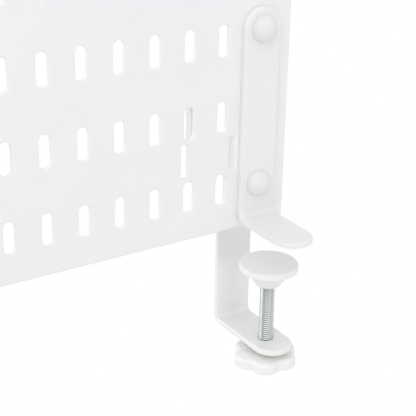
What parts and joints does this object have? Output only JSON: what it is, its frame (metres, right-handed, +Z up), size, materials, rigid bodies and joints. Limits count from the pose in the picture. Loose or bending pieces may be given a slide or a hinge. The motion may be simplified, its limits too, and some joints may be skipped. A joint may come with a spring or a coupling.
{
  "type": "clamp-on pegboard",
  "caption": "White slotted organizer panel held upright on a desk's rear edge by steel clamps with screws, swivel pads and lobed hand knobs",
  "frame": {"origin": "where the desk's top meets its rear edge, at the middle of the panel's width", "axes": "+X along the desk edge to the user's right, +Y from the user to the back, +Z up"},
  "size_m": [0.222, 0.0715, 0.2851],
  "materials": {
    "panel_plastic": "moulded white plastic, slightly cool",
    "white_plastic": "moulded white plastic, slightly warm",
    "coated_steel": "white powder coat, semi-gloss",
    "zinc_steel": "zinc plated"
  },
  "bodies": {
    "root": {"panel": "panel_plastic", "bolt_caps": "white_plastic", "left_front_bracket": "coated_steel", "left_rear_bracket": "coated_steel", "left_lower_bolt": "zinc_steel", "left_lower_nut": "zinc_steel", "left_upper_bolt": "zinc_steel", "left_upper_nut": "zinc_steel", "right_front_bracket": "coated_steel", "right_rear_bracket": "coated_steel", "right_lower_bolt": "zinc_steel", "right_lower_nut": "zinc_steel", "right_upper_bolt": "zinc_steel", "right_upper_nut": "zinc_steel"},
    "left_pad": {"left_swivel_pad": "white_plastic"},
    "left_spindle": {"left_clamp_screw": "zinc_steel", "left_star_knob": "white_plastic"},
    "right_pad": {"right_swivel_pad": "white_plastic"},
    "right_spindle": {"right_clamp_screw": "zinc_steel", "right_star_knob": "white_plastic"}
  },
  "joints": [
    {"name": "left_pad_travel", "type": "slide", "parent": "root", "child": "left_pad", "axis": [0, 0, 1], "range_m": [-0.0325, 0.0031]},
    {"name": "left_screw_turn", "type": "hinge", "parent": "left_pad", "child": "left_spindle", "pos_m": [-0.0918, -0.0159, -0.05], "axis": [0, 0, 1], "range_deg": [-9361, 894]},
    {"name": "right_pad_travel", "type": "slide", "parent": "root", "child": "right_pad", "axis": [0, 0, 1], "range_m": [-0.0325, 0.0031]},
    {"name": "right_screw_turn", "type": "hinge", "parent": "right_pad", "child": "right_spindle", "pos_m": [0.0918, -0.0159, -0.05], "axis": [0, 0, 1], "range_deg": [-9361, 894]}
  ],
  "couplings": [
    {"joint": "left_screw_turn", "follows": "left_pad_travel", "rad_per_m": 5026.5},
    {"joint": "right_screw_turn", "follows": "right_pad_travel", "rad_per_m": 5026.5}
  ]
}
